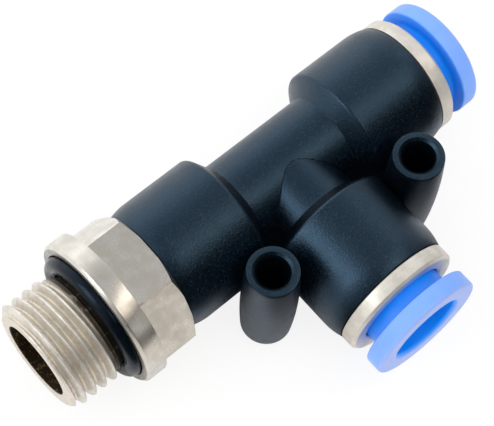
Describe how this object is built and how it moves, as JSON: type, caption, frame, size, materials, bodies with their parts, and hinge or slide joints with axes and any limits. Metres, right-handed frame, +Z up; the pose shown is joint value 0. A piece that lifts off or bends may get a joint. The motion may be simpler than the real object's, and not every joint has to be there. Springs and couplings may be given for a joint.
{
  "type": "push-to-connect run tee",
  "caption": "Black plastic push-in tee for air tube, with a plated threaded stud in line with one tube port, a side port, blue release sleeves and screw bosses.",
  "frame": {"origin": "bottom centre of the part's bounding box, as it lies with all three port axes level", "axes": "+X along the run, from the threaded stud to the run's tube port; -Y along the branch port; +Z up, along the screw bosses"},
  "size_m": [0.0576, 0.0326, 0.0178],
  "materials": {
    "black_plastic": "fine-grained black moulded plastic",
    "plated_brass": "turned, nickel plated",
    "blue_plastic": "smooth blue moulded plastic",
    "black_rubber": "smooth black rubber",
    "spring_steel": "bright spring steel",
    "white_plastic": "natural moulded plastic"
  },
  "bodies": {
    "housing": {"housing": "black_plastic", "run_guide_ring": "plated_brass", "run_lock_claws": "spring_steel", "run_claw_spacer": "white_plastic", "run_tube_seal": "black_rubber", "branch_guide_ring": "plated_brass", "branch_lock_claws": "spring_steel", "branch_claw_spacer": "white_plastic", "branch_tube_seal": "black_rubber"},
    "stud": {"threaded_stud": "plated_brass", "face_seal_ring": "black_rubber", "stud_seal_ring": "black_rubber", "stud_retaining_ring": "spring_steel"},
    "run_sleeve": {"run_release_sleeve": "blue_plastic"},
    "branch_sleeve": {"branch_release_sleeve": "blue_plastic"}
  },
  "joints": [
    {"name": "stud_swivel", "type": "hinge", "parent": "housing", "child": "stud", "pos_m": [-0.01505, 0.00745, 0.00889], "axis": [1, 0, 0], "continuous": true},
    {"name": "run_release", "type": "slide", "parent": "housing", "child": "run_sleeve", "axis": [-1, 0, 0], "range_m": [0, 0.0014], "stiffness_N_per_m": 1500},
    {"name": "branch_release", "type": "slide", "parent": "housing", "child": "branch_sleeve", "axis": [0, 1, 0], "range_m": [0, 0.0014], "stiffness_N_per_m": 1500}
  ]
}
